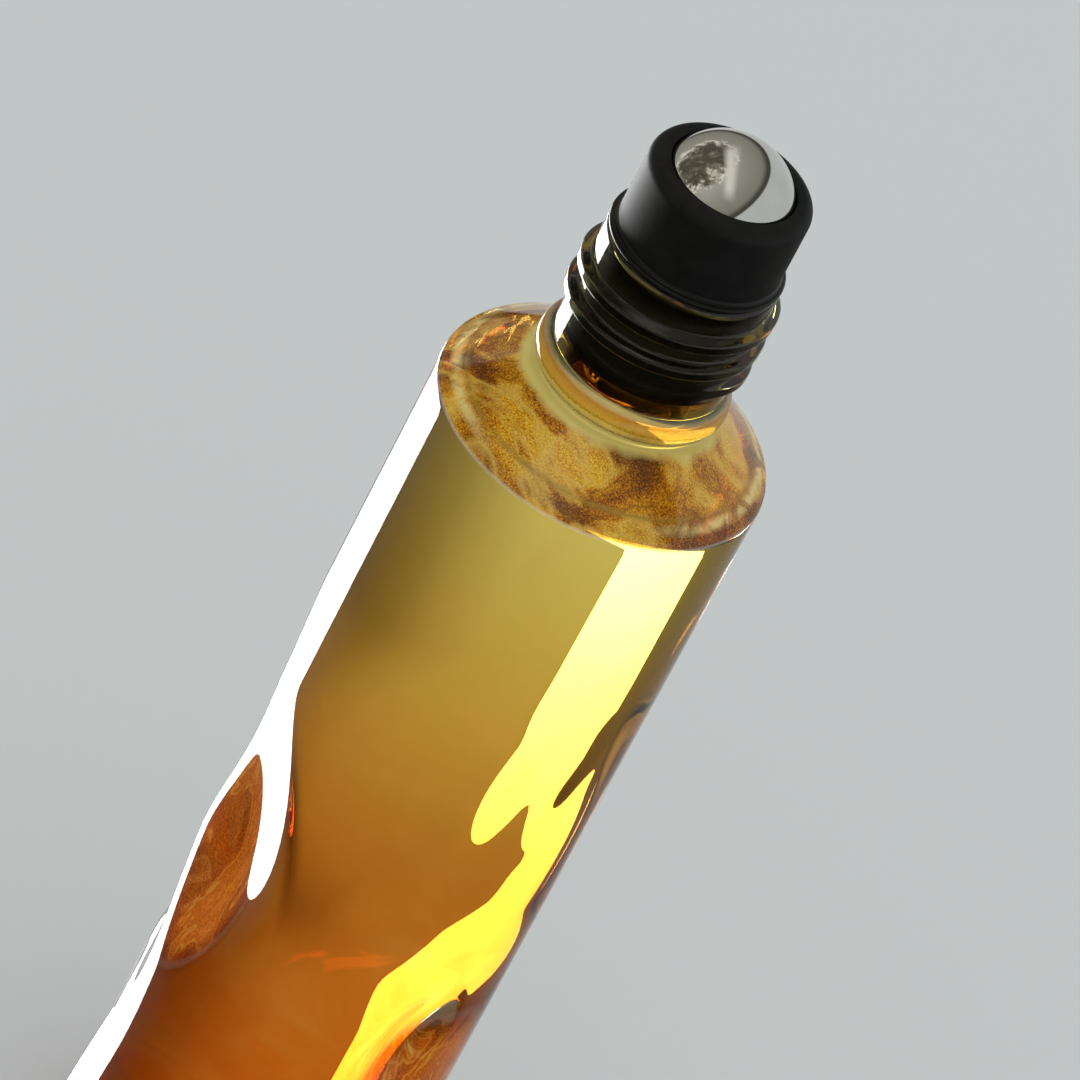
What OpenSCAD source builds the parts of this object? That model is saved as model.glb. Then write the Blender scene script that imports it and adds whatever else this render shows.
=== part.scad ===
// Roll-on bottle: a thick-walled glass bottle with a screw neck, filled with
// amber oil and closed by a pressed-in housing that cages a steel ball.
// Millimetres, +Z up, origin at the middle of the face that it stands on.

/* [Body] */
// Diameter of the straight upper body
body_d = 22; // [19:0.1:30]
// Height from the table to the shoulder's outer edge
body_h = 71.5; // [55:0.5:90]
// Rise of the shoulder from its outer edge to the foot of the neck
shoulder_h = 3.2; // [2:0.1:4.5]
// Radius of the rounded edge between body and shoulder
edge_r = 0.9; // [0.4:0.1:1.5]
// Radius of the rounded heel round the base
heel_r = 1.8; // [0.8:0.1:2.5]
// Diameter of the shallow hollow under the base
punt_d = 13; // [9:0.1:14]
// Depth of the hollow under the base
punt_h = 0.7; // [0.3:0.1:1.2]

/* [Cavity] */
// Diameter of the cavity that holds the oil
cavity_d = 12.8; // [9.8:0.1:14]
// Thickness of the glass under the cavity
floor_t = 5; // [3:0.1:9]
// Glass between the shoulder's edge and the top of the cavity's straight wall
crown_t = 3.4; // [2.5:0.1:6]
// Radius of the rounded bottom of the cavity
cavity_r = 2.6; // [1:0.1:4]

/* [Thumb hollows] */
// Depth of the deepest hollow pressed into the lower body
hollow_depth = 1.7; // [0.5:0.05:1.8]
// Radius of the largest ball that leaves a hollow's shape
hollow_r = 52; // [40:1:60]

/* [Neck] */
// Diameter of the neck between the threads
neck_d = 11.6; // [10.8:0.1:12.2]
// Height of the neck above the shoulder
neck_h = 11.1; // [10.5:0.1:14]
// Bore of the neck, which holds the housing's plug
bore_d = 8.4; // [7.6:0.1:9]
// Diameter of the bead at the foot of the neck
bead_d = 12.9; // [12.4:0.1:14]
// Height of the bead
bead_h = 2.3; // [1.6:0.1:2.6]

// Radius of the rounded edge round the top of the glass
lip_round = 0.35; // [0.1:0.05:0.6]

/* [Thread] */
// Diameter over the thread
thread_d = 12.8; // [12.6:0.1:13.4]
// Rise of the thread in one turn
pitch = 2.15; // [1.9:0.05:2.4]
// Number of turns
turns = 2.3; // [1.5:0.1:2.6]
// Width of the thread's rounded ridge at its root
thread_w = 1.3; // [1:0.1:1.5]
// Height from the top of the neck down to the thread's upper end
thread_drop = 1.9; // [1.6:0.1:2.2]

/* [Ball] */
// Diameter of the steel ball
ball_d = 9; // [8.5:0.05:9.4]
// Running gap between the ball and its socket
ball_gap = 0.05; // [0.03:0.01:0.1]

/* [Housing] */
// Wall of the collar beside the ball
collar_wall = 0.85; // [0.7:0.01:1]
// How far the collar's mouth reaches in over the ball, which keeps it caged
mouth_reach = 0.375; // [0.3:0.025:0.6]
// Height of the ball's middle above the glass
ball_lift = 3.93; // [3.6:0.01:4.4]
// Radius of the collar's rounded rim
rim_r = 0.85; // [0.3:0.05:0.95]
// How far the thin flange that rests on the glass stands out past the neck
flange_out = 0.02; // [0:0.01:0.2]
// Thickness of the flange
flange_t = 0.35; // [0.25:0.05:0.6]
// Length of the plug below the flange
plug_l = 8.8; // [7.5:0.1:10]
// Wall of the hollow plug
plug_t = 0.9; // [0.6:0.05:1.2]
// Gap between the plug and the bore between its sealing rings
plug_gap = 0.08; // [0.03:0.01:0.12]
// How far each sealing ring bites past the bore's radius
ring_bite = 0.03; // [0.01:0.01:0.06]
// Number of sealing rings
rings = 3; // [2:1:4]
// Height of one sealing ring
ring_h = 0.7; // [0.4:0.05:0.9]
// Diameter of the feed hole under the ball
feed_d = 2.6; // [1.6:0.1:3.2]
// Width of each channel that lets oil past the seat
channel_w = 0.7; // [0.4:0.05:1]
// Number of channels
channels = 6; // [3:1:8]

/* [Oil] */
// Distance from the bottom of the plug down to the oil's surface
ullage = 0.8; // [0.4:0.1:6]
// Gap that keeps the oil's solid off the glass
oil_gap = 0.02; // [0.01:0.01:0.1]

/* [Hidden] */

// Sides of a full circle, and of each rounding in an outline
smooth = 96;
arc_steps = 12;
// Overrun of every cut past the face that it opens
over = 0.5;

// Heights above the table that more than one piece uses
neck_z = body_h + shoulder_h;
lip_z = neck_z + neck_h;
plug_z = lip_z - plug_l;
oil_z = plug_z - ullage;

// The plug, the socket round the ball and the ball's middle
plug_r = bore_d / 2 - plug_gap;
socket_r = ball_d / 2 + ball_gap;
ball_z = lip_z + ball_lift;

// The collar and its mouth, and the flat rounding inside the mouth
collar_r = socket_r + collar_wall;
mouth_d = ball_d - 2 * mouth_reach;
mouth_r = 0.15;
collar_z = ball_z + sqrt(pow(socket_r, 2) - pow(mouth_d / 2, 2)) + mouth_r;
// Floor of plastic left under the ball
web_t = 1;
web_z = ball_z - socket_r - web_t;

// Where each hollow lies: its turn about the axis, its height as a share of
// the body's, and its depth and its ball's radius as shares of the largest ones
HOLLOW_TURN = 0;
HOLLOW_HEIGHT = 1;
HOLLOW_DEPTH = 2;
HOLLOW_BALL = 3;
hollow_shares = [
    [68, 0.54, 0.60, 1.00], [88, 0.52, 0.60, 1.00], [101, 0.36, 0.35, 0.30],
    [175, 0.52, 0.65, 1.00], [180, 0.31, 0.65, 1.00], [182, 0.13, 0.53, 0.45],
    [220, 0.47, 1.00, 0.50], [245, 0.11, 0.47, 0.22], [280, 0.19, 0.70, 0.42],
    [296, 0.50, 0.24, 0.63], [309, 0.69, 0.15, 1.00], [313, 0.36, 0.82, 0.23]
];

// Steps of the thread in a turn, the arc over which its ends fade, and how
// deep its root lies in the neck
thread_steps = 36;
thread_fade = 40;
thread_sink = 0.5;
// Turn at which the thread's lower end starts
thread_start = -50;
// Half of the ridge's section from its sunk root to its crest, as shares of its
// half width at the neck's surface and of its height over the sunk root
ridge_shares = [[1.25, 0], [0.82, 0.7], [0.3, 1]];
// Height of a faded end, which lies under the neck's surface
faded_share = 0.3;

// Points of an arc about a centre, from one angle to another
function arc(c, r, a0, a1) = [
    for (i = [0:arc_steps])
        c + r * [cos(a0 + (a1 - a0) * i / arc_steps),
                 sin(a0 + (a1 - a0) * i / arc_steps)]
];

// Right half of the bottle's outside, from the axis under the base to the lip
function outside() = let (
    body_r = body_d / 2,
    neck_r = neck_d / 2,
    bead_out = bead_d / 2 - neck_r,
    // radius of a bead with this height and reach, and where its centre lies
    bead_r = (pow(bead_h / 2, 2) + pow(bead_out, 2)) / (2 * bead_out),
    bead_a = asin(bead_h / 2 / bead_r)
) concat(
    [[0, punt_h], [punt_d / 2 - 2 * punt_h, punt_h]],
    [[punt_d / 2, 0]],
    arc([body_r - heel_r, heel_r], heel_r, -90, 0),
    arc([body_r - edge_r, body_h - edge_r], edge_r, 0, 50),
    [[neck_r + bead_out, neck_z - shoulder_h / 12]],
    [[neck_r, neck_z]],
    arc([neck_r + bead_out - bead_r, neck_z + bead_h / 2], bead_r, -bead_a, bead_a),
    arc([neck_r - lip_round, lip_z - lip_round], lip_round, 0, 90),
    [[0, lip_z]]
);

// Right half of the cavity and the neck's bore, drawn in by a gap all round
// and cut off at a height
function inside(gap, top) = let (
    r = cavity_d / 2 - gap,
    bore_r = bore_d / 2 - gap,
    crown_z = body_h - crown_t,
    floor_z = floor_t + gap,
    heel = cavity_r - gap
) concat(
    [[0, floor_z]],
    arc([r - heel, floor_z + heel], heel, -90, 0),
    // the crown is an S of two equal arcs
    arc([r - (r - bore_r) / 2, crown_z], (r - bore_r) / 2, 0, 90),
    arc([bore_r + (r - bore_r) / 2, crown_z + (r - bore_r)], (r - bore_r) / 2, 270, 180),
    [[bore_r, top], [0, top]]
);

// One ridge that winds up the neck and fades into it at both ends
module thread() {
    root_r = neck_d / 2 - thread_sink;
    height = thread_d / 2 - root_r;
    sweep = 360 * turns;
    last = ceil(turns * thread_steps);
    low_z = lip_z - thread_drop - pitch * turns;
    section = concat(
        [for (s = ridge_shares) [-s[0], s[1]]],
        [for (i = [len(ridge_shares) - 1:-1:0]) ridge_shares[i]]
    );
    sides = len(section);
    // share of its full height that the ridge has at an angle along it
    function rise(a) = min(1, faded_share + min(a, sweep - a) / thread_fade);
    function ring(a) = [
        for (s = section) let (r = root_r + height * s[1] * rise(a))
            [r * cos(a + thread_start), r * sin(a + thread_start),
             low_z + pitch * a / 360 + thread_w / 2 * s[0]]
    ];
    points = [for (i = [0:last]) each ring(sweep * i / last)];
    walls = [
        for (i = [0:last - 1], s = [0:sides - 1]) let (
            a = i * sides + s,
            b = i * sides + (s + 1) % sides
        ) each [[a, a + sides, b], [b, a + sides, b + sides]]
    ];
    cap_low = [for (s = [0:sides - 1]) s];
    cap_high = [for (s = [sides - 1:-1:0]) last * sides + s];
    polyhedron(points, concat([cap_low], walls, [cap_high]));
}

// Shallow hollows round the body, each as left by a large ball
module hollows() {
    for (h = hollow_shares) {
        depth = hollow_depth * h[HOLLOW_DEPTH];
        ball_r = hollow_r * h[HOLLOW_BALL];
        rotate([0, 0, h[HOLLOW_TURN]])
            translate([body_d / 2 + ball_r - depth, 0, body_h * h[HOLLOW_HEIGHT]])
                sphere(r = ball_r, $fn = smooth);
    }
}

module glass_bottle() {
    color("palegoldenrod", 0.45)
        difference() {
            union() {
                rotate_extrude($fn = smooth) polygon(outside());
                thread();
            }
            rotate_extrude($fn = smooth) polygon(inside(0, lip_z + over));
            hollows();
        }
}

// Right half of the housing's outside, from the plug's foot to the rim
module housing_outline() {
    ring_r = bore_d / 2 + ring_bite;
    step = (plug_l - 2 * ring_h) / rings;
    union() {
        translate([0, plug_z])
            square([plug_r, plug_l + flange_t]);
        for (i = [0:rings - 1])
            translate([0, plug_z + ring_h + i * step])
                polygon([
                    [0, 0], [plug_r, 0], [ring_r, ring_h / 3],
                    [ring_r, 2 * ring_h / 3], [plug_r, ring_h], [0, ring_h]
                ]);
        translate([0, lip_z])
            square([neck_d / 2 + flange_out, flange_t]);
        polygon(concat(
            [[0, lip_z], [collar_r, lip_z]],
            arc([collar_r - rim_r, collar_z - rim_r], rim_r, 0, 90),
            [[0, collar_z]]));
    }
}

module roller_housing() {
    plug_bore_r = plug_r - plug_t;
    color([0.07, 0.07, 0.075])
        difference() {
            rotate_extrude($fn = smooth) housing_outline();
            // hollow plug
            translate([0, 0, plug_z - over])
                cylinder(r = plug_bore_r, h = web_z - plug_z + over, $fn = smooth);
            // feed hole
            translate([0, 0, web_z - over])
                cylinder(d = feed_d, h = web_t + socket_r, $fn = smooth);
            // socket, and the eased edge of its mouth
            translate([0, 0, ball_z])
                sphere(r = socket_r, $fn = smooth);
            translate([0, 0, collar_z - mouth_r])
                cylinder(d1 = mouth_d, d2 = mouth_d + 2 * mouth_r, h = mouth_r, $fn = smooth);
            translate([0, 0, collar_z])
                cylinder(d = mouth_d + 2 * mouth_r, h = over, $fn = smooth);
            // channels in the seat
            for (i = [0:channels - 1])
                rotate([0, 0, 360 * i / channels])
                    translate([0, -channel_w / 2, web_z + web_t / 2])
                        cube([plug_bore_r, channel_w, socket_r]);
        }
}

module roller_ball() {
    color("silver")
        translate([0, 0, ball_z])
            sphere(d = ball_d, $fn = smooth);
}

module amber_oil() {
    color("darkgoldenrod", 0.8)
        rotate_extrude($fn = smooth) polygon(inside(oil_gap, oil_z));
}

glass_bottle();
roller_housing();
roller_ball();
amber_oil();
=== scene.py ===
# %% [markdown]
# # A roll-on bottle of amber oil
#
# The real object is four things: a thick glass bottle whose walls were pressed into soft
# hollows, the amber oil in it, a black moulded housing that snaps into the neck, and a steel ball
# that the housing cages. This notebook dresses the measured model of those four pieces.
#
# Everything is worked out in metres, in the measured model's own frame: the bottle stands on
# z = 0 and its axis is the z axis. No piece is moved afterwards, so its place is in its mesh.

# %% Load the measured model
import math

import bpy
import numpy as np
from mathutils import Matrix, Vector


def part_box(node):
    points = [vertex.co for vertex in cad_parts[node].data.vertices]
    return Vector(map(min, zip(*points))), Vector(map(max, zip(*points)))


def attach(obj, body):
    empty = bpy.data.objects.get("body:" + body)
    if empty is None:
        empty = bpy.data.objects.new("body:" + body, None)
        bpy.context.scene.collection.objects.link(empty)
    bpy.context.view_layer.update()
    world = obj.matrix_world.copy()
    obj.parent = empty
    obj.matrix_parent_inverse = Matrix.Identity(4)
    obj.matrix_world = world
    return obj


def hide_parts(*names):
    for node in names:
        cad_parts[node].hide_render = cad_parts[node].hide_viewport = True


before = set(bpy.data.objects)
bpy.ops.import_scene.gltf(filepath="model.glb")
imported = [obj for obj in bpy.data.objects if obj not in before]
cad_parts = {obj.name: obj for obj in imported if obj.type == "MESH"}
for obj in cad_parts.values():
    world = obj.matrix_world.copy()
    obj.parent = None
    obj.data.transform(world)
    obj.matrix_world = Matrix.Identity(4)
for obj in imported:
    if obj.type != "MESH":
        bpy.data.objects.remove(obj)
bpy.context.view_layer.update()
MM = 0.001

glass_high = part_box("glass_bottle")[1]
housing_low, housing_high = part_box("roller_housing")
ball_low, ball_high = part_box("roller_ball")
oil_low, oil_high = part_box("amber_oil")


def in_mm(lengths):
    """Lengths in millimetres, rounded for printing."""
    return [round(float(length) / MM, 2) for length in lengths]


# %% [markdown]
# ## Surfaces as grids
#
# Every piece here is round, so every piece is one profile carried round an axis. A lathe (Blender's
# Screw modifier) could do it, but then the hollows, the thread and the seat's channels would need
# Booleans, which leave ragged faces that show at once in glass. Here the profile is an array of
# (radius, height) points, the turn round the axis is a second array, and a piece may push the
# surface in or out with a formula before the grid becomes faces. The result is one even skin.

# %% Profile pieces
def line(start, end, count):
    """Points from start to end in equal steps, without the last one."""
    t = np.linspace(0, 1, count, endpoint=False)[:, None]
    return np.asarray(start) * (1 - t) + np.asarray(end) * t


def arc(centre, radius, start, end, count):
    """Points centre + radius * (cos a, sin a) for a from start to end in degrees, both included."""
    a = np.radians(np.linspace(start, end, count))
    return np.asarray(centre) + radius * np.stack([np.cos(a), np.sin(a)], axis=1)


def carry_round(profile, segments, shape=None):
    """Grid of points (r cos t, r sin t, z): the profile's (r, z) at each of the segments' turns t.

    shape(r, z, t) gives the radius to use in place of r, all three as arrays of the grid's size.
    """
    turn = np.linspace(0, 2 * np.pi, segments, endpoint=False)
    r, t = np.meshgrid(profile[:, 0], turn, indexing="ij")
    z = np.repeat(profile[:, 1][:, None], segments, axis=1)
    if shape is not None:
        r = shape(r, z, t)
    return np.stack([r * np.cos(t), r * np.sin(t), z], axis=2)


# %% From grid to mesh
def skin(name, grid, start=None, end=None):
    """Mesh object from a grid that closes round its second direction.

    start and end are points on the axis that close the grid's first and last ring with a fan.
    Where both are None, the last ring joins the first, as round a tyre.
    """
    rows, cols = grid.shape[:2]
    index = np.arange(rows * cols).reshape(rows, cols)
    beside = np.roll(index, -1, axis=1)
    if start is None and end is None:
        below, above = index, np.roll(index, -1, axis=0)
        below_b, above_b = beside, np.roll(beside, -1, axis=0)
    else:
        below, above, below_b, above_b = index[:-1], index[1:], beside[:-1], beside[1:]
    faces = np.stack([below, below_b, above_b, above], axis=-1).reshape(-1, 4).tolist()
    points = grid.reshape(-1, 3).tolist()
    for tip, ring, turned in ((start, 0, False), (end, rows - 1, True)):
        if tip is None:
            continue
        points.append(list(tip))
        a, b = index[ring], beside[ring]
        if turned:
            a, b = b, a
        fan = np.stack([b, a, np.full(cols, len(points) - 1)], axis=1)
        faces += fan.tolist()
    mesh = bpy.data.meshes.new(name)
    mesh.from_pydata(points, [], faces)
    mesh.shade_smooth()
    piece = bpy.data.objects.new(name, mesh)
    bpy.context.collection.objects.link(piece)
    print(name, len(points), "points,", sum(len(f) - 2 for f in faces), "triangles")
    return piece


def ease(x):
    """Smooth step from 0 to 1 as x goes from 0 to 1: 3x^2 - 2x^3."""
    x = np.clip(x, 0, 1)
    return x * x * (3 - 2 * x)


# %% [markdown]
# ## The camera
#
# The photo looks down on the bottle from about 35 degrees and leans, so that the bottle's axis
# runs from lower left to upper right. Its edges hardly converge, which means a long lens far away.
# The camera is set by those real values: how high it looks from, how far off it stands, where its
# middle falls beside the bottle, and how much it is rolled.

# %% Camera
CAMERA_ELEVATION = math.radians(35.47)
CAMERA_ROLL = math.radians(28.0)
CAMERA_DISTANCE = 600 * MM
# Blender gives both the focal length and the sensor's width as plain numbers of millimetres
LENS = 324.5
SENSOR_WIDTH = 36
NEAR_CLIP = 10 * MM
TARGET_HEIGHT = glass_high[2] - 14.8 * MM
AIM_RIGHT = -0.114 * MM
AIM_UP = -8.114 * MM


def stand(side, top, back, place):
    """Matrix whose columns are an object's own x, y and z directions and its place."""
    return Matrix([[side[i], top[i], back[i], place[i]] for i in range(3)] + [[0, 0, 0, 1]])


def place_camera():
    """Camera at a distance along (0, -cos e, sin e) from a point on the axis, aimed beside it."""
    towards = np.array([0, -math.cos(CAMERA_ELEVATION), math.sin(CAMERA_ELEVATION)])
    target = np.array([0, 0, TARGET_HEIGHT])
    place = target + CAMERA_DISTANCE * towards
    right = np.array([1.0, 0, 0])
    up = np.cross(right, -towards)
    look = target + AIM_RIGHT * right + AIM_UP * up - place
    look /= np.linalg.norm(look)
    level = np.cross(look, [0, 0, 1])
    level /= np.linalg.norm(level)
    upright = np.cross(level, look)
    c, s = math.cos(CAMERA_ROLL), math.sin(CAMERA_ROLL)
    side, top = c * level + s * upright, c * upright - s * level
    data = bpy.data.cameras.new("camera")
    data.lens = LENS
    data.sensor_width = SENSOR_WIDTH
    data.clip_start = NEAR_CLIP
    camera = bpy.data.objects.new("camera", data)
    bpy.context.collection.objects.link(camera)
    camera.matrix_world = stand(side, top, -look, place)
    bpy.context.scene.camera = camera
    return camera


camera = place_camera()
print("camera stands at, mm:", in_mm(camera.matrix_world.translation))

# %% [markdown]
# ## The glass
#
# A wall of four and a half millimetres is what makes this bottle: light bends at the outer skin,
# again at the cavity, and again on its way out. So the glass is one closed skin that runs from under
# the base up the outside, over the lip and down the cavity. The outside is a formula: a cylinder,
# less a smooth hollow wherever the table below puts one, plus a ridge that follows the thread.

# %% Sizes of the glass
BODY_R = glass_high[0]
LIP_Z = glass_high[2]
NECK_H = 11.1 * MM
NECK_Z = LIP_Z - NECK_H
SHOULDER_H = 3.2 * MM
EDGE_Z = NECK_Z - SHOULDER_H
EDGE_R = 0.9 * MM
HEEL_R = 1.8 * MM
PUNT_R = 6.5 * MM
PUNT_H = 0.7 * MM
NECK_R = 5.8 * MM
BEAD_R = 6.45 * MM
BEAD_H = 2.3 * MM
LIP_ROUND = 0.35 * MM
BORE_R = 4.2 * MM
CAVITY_R = oil_high[0]
CAVITY_FLOOR = oil_low[2]
CAVITY_ROUND = 2.6 * MM
CROWN_T = 3.4 * MM
THREAD_RISE = 0.6 * MM
THREAD_HALF = 0.72 * MM
PITCH = 2.15 * MM
TURNS = 2.3
THREAD_TOP = LIP_Z - 1.9 * MM
THREAD_START = math.radians(-50)
THREAD_FADE = math.radians(50)
THREAD_STEEPNESS = 1.6
# A point of the profile further out than these is on the outside, not in the bore or the cavity
NECK_OUTSIDE_R = BORE_R * 1.2
BODY_OUTSIDE_R = CAVITY_R * 1.01
# A straight stretch of the profile starts this far past the arc before it
ROW_GAP = 0.2 * MM
# The innermost ring of points round each pole, which a fan of triangles closes
TIP_R = 0.3 * MM
print("body, mm:", in_mm([2 * BODY_R, EDGE_Z]), "wide and high; wall:", in_mm([BODY_R - CAVITY_R]))

# %% [markdown]
# ## The hollows in the body
#
# The real body isn't quite round: below the shoulder it was pressed in, softly and unevenly. Sculpting
# or a displacement texture could do that, but what shows in glass is how each hollow bends the light,
# so each one is a row that can be set by itself. Those at the back shape the two bright stripes at the
# right, and those at the left cut the brown island out of the white band.

# %% Hollows
# Each row: turn in degrees, drop below the shoulder's edge and depth in mm, half width and
# half height in mm, lean.
HOLLOWS = [
    (67, 33, 0.9, 3, 14, 0.6),
    (88, 35, 1.1, 3, 14, -0.3),
    (101, 46, 0.6, 4, 6, 0),
    (175, 34, 1.1, 5, 15, 0.3),
    (180, 49, 1.1, 6.5, 15, -0.6),
    (182, 62, 0.9, 4.5, 9, -0.4),
    (220, 38, 1.7, 6.5, 13, -0.3),
    (245, 64, 0.8, 3.5, 6, 0.1),
    (280, 58, 1.2, 6.5, 10, -0.8),
    (296, 36, 0.4, 6, 8, 0.2),
    (311, 22, 0.25, 4, 10, 0.3),
    (313, 46, 1.4, 3.2, 8, 0.3),
]


def hollow_depth(z, t):
    """Sum of round hollows: depth * (1 + cos(pi q)) / 2 for q < 1, where q is the distance from
    the hollow's middle measured in half widths round the body and half heights up it.
    """
    total = np.zeros_like(z)
    for turn, drop, depth, half_w, half_h, lean in HOLLOWS:
        away = (t - math.radians(turn) + np.pi) % (2 * np.pi) - np.pi
        up = (z - EDGE_Z + drop * MM) / (half_h * MM)
        across = away * BODY_R / (half_w * MM) - lean * up
        q = np.minimum(np.hypot(across, up), 1)
        total += depth * MM * (1 + np.cos(np.pi * q)) / 2
    return total


print(len(HOLLOWS), "hollows, the deepest, mm:", max(row[2] for row in HOLLOWS))


# %% The thread and the outside as one formula
def thread_rise(z, t):
    """Ridge that climbs one pitch a turn: rise * ease(steepness * (1 - x)), where x is the height
    away from the helix in half widths, at most 1. It fades in and out over its two ends.
    """
    sweep = 2 * np.pi * TURNS
    low = THREAD_TOP - PITCH * TURNS
    total = np.zeros_like(z)
    for lap in range(int(TURNS) + 2):
        along = (t - THREAD_START) % (2 * np.pi) + 2 * np.pi * lap
        helix = low + PITCH * along / (2 * np.pi)
        x = np.minimum(np.abs(z - helix) / THREAD_HALF, 1)
        fade = ease(np.minimum(along, sweep - along) / THREAD_FADE)
        total = np.maximum(total, THREAD_RISE * ease((1 - x) * THREAD_STEEPNESS) * fade)
    return total


def glass_shape(r, z, t):
    """Radius of the glass: less the hollows on the body's outside, plus the thread on the neck."""
    outside = r > NECK_OUTSIDE_R
    body = outside & (z < EDGE_Z)
    fade = ease((r - PUNT_R) / (BODY_R - PUNT_R)) * ease((EDGE_Z - z) / EDGE_R)
    neck = outside & (z > NECK_Z + BEAD_H) & (r > NECK_R - LIP_ROUND)
    dent = np.where(body & (r >= BODY_OUTSIDE_R), hollow_depth(z, t) * fade, 0)
    ridge = np.where(neck, thread_rise(z, t), 0)
    return r - dent + ridge


# %% The profile of the glass
def bead_arc():
    """Arc that bulges out to the bead's radius and has the bead's height."""
    reach = BEAD_R - NECK_R
    radius = ((BEAD_H / 2) ** 2 + reach ** 2) / (2 * reach)
    half = math.degrees(math.asin(BEAD_H / 2 / radius))
    return arc((BEAD_R - radius, NECK_Z + BEAD_H / 2), radius, -half, half, 24)


def cavity_profile(grow, top, top_rows):
    """The cavity from its floor's edge up to a height, pushed out by grow into the glass."""
    r, bore = CAVITY_R + grow, BORE_R + grow
    bend = (r - bore) / 2
    crown = EDGE_Z - CROWN_T
    heel = CAVITY_ROUND + grow
    floor = CAVITY_FLOOR - grow
    return np.concatenate([
        line((TIP_R, floor), (r - heel, floor), 8),
        arc((r - heel, floor + heel), heel, -90, 0, 16),
        line((r, floor + heel + 2 * ROW_GAP), (r, crown), 14),
        arc((r - bend, crown), bend, 0, 90, 12)[:-1],
        arc((bore + bend, crown + 2 * bend), bend, 270, 180, 12),
        line((bore, crown + 2 * bend + ROW_GAP), (bore, top), top_rows),
    ])


def glass_profile():
    """Closed outline from under the base, up the outside, over the lip and down the cavity."""
    shoulder_foot = (BEAD_R, NECK_Z - SHOULDER_H / 12)
    edge = arc((BODY_R - EDGE_R, EDGE_Z - EDGE_R), EDGE_R, 0, 50, 10)
    outside = np.concatenate([
        line((TIP_R, PUNT_H), (PUNT_R - 2 * PUNT_H, PUNT_H), 8),
        line((PUNT_R - 2 * PUNT_H, PUNT_H), (PUNT_R, 0), 5),
        line((PUNT_R, 0), (BODY_R - HEEL_R, 0), 5),
        arc((BODY_R - HEEL_R, HEEL_R), HEEL_R, -90, 0, 14)[:-1],
        line((BODY_R, HEEL_R), (BODY_R, EDGE_Z - EDGE_R), 130),
        edge[:-1],
        line(edge[-1], shoulder_foot, 14),
        line(shoulder_foot, (NECK_R, NECK_Z), 4),
        bead_arc()[1:-1],
        line((NECK_R, NECK_Z + BEAD_H), (NECK_R, LIP_Z - LIP_ROUND), 94),
        arc((NECK_R - LIP_ROUND, LIP_Z - LIP_ROUND), LIP_ROUND, 0, 90, 8),
        line((NECK_R - LIP_ROUND - ROW_GAP, LIP_Z), (BORE_R, LIP_Z), 3),
    ])
    inside = cavity_profile(0, LIP_Z, 12)[::-1]
    return np.concatenate([outside, inside])


# %% The glass as a mesh
def second_finish(piece, chosen):
    """Gives material slot 1 to the faces whose middles (x, y, z) the function picks out."""
    mesh = piece.data
    middles = np.empty(len(mesh.polygons) * 3)
    mesh.polygons.foreach_get("center", middles)
    picked = chosen(*middles.reshape(-1, 3).T).astype(np.int32)
    mesh.polygons.foreach_set("material_index", picked)
    print(piece.name, int(picked.sum()), "faces take the second finish")


GLASS_SEGMENTS = 256
WET_Z = oil_high[2] - 0.1 * MM
glass = skin("bottle_glass", carry_round(glass_profile(), GLASS_SEGMENTS, glass_shape),
             (0, 0, PUNT_H), (0, 0, CAVITY_FLOOR))
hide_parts("glass_bottle")
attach(glass, "bottle")

# %% [markdown]
# ## The oil
#
# Oil wets the glass, so there is no air between them. Two skins in exactly the same place would
# flicker, and an oil skin a hair inside the cavity would act like a film of air and turn silver.
# The usual answer is to let the liquid reach a hair into the glass, and to give each skin the step
# that light takes there: the wetted wall of the cavity bends it from glass to oil, the oil's own
# skin inside the glass only colours it, and the oil's open surface bends it from oil to air. That
# surface climbs a little at the wall, because oil clings to glass.

# %% Oil
OIL_GROW = 0.03 * MM
OIL_Z = oil_high[2]
MENISCUS = 0.5 * MM


def oil_profile():
    """The cavity's own outline pushed out by a hair, closed by a surface that climbs at the wall."""
    wall = cavity_profile(OIL_GROW, OIL_Z, 14)
    r = np.linspace(BORE_R + OIL_GROW, TIP_R, 16)
    climb = np.exp((r - BORE_R) / MENISCUS) * MENISCUS / 3
    top = np.stack([r, OIL_Z - MENISCUS / 3 + climb], axis=1)
    return np.concatenate([wall, top])


OIL_SEGMENTS = 128
oil = skin("oil_fill", carry_round(oil_profile(), OIL_SEGMENTS),
           (0, 0, CAVITY_FLOOR - OIL_GROW), (0, 0, OIL_Z - MENISCUS / 3))
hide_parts("amber_oil")
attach(oil, "bottle")

# %% [markdown]
# ## The housing
#
# The housing is one black moulding: a collar with a rounded rim, a thin flange that rests on the
# glass, and a hollow plug with three sealing rings that shows through the neck. Its socket is a
# sphere a hair larger than the ball, and its mouth is narrower than the ball, which is what keeps
# the ball in. It could be put together from cylinders and a sphere with Booleans. As one outline
# carried round it has no seams, and its fillets are plain arcs.

# %% Sizes of the housing
COLLAR_R = 5.4 * MM
COLLAR_Z = housing_high[2]
FLANGE_R = housing_high[0]
FLANGE_T = 0.35 * MM
FILLET = 0.32 * MM
RIM_R = 0.85 * MM
MOUTH_R = 4.125 * MM
MOUTH_ROUND = 0.15 * MM
PLUG_Z = housing_low[2]
PLUG_R = BORE_R + 0.02 * MM
RINGS = 3
RING_BITE = 0.03 * MM
RING_H = 0.7 * MM
PLUG_BORE_R = PLUG_R - 0.9 * MM
WEB_T = 1.0 * MM
FEED_R = 1.3 * MM
BALL_R = (ball_high[2] - ball_low[2]) / 2
BALL_Z = (ball_high[2] + ball_low[2]) / 2
SOCKET_R = BALL_R + 0.05 * MM
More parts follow.
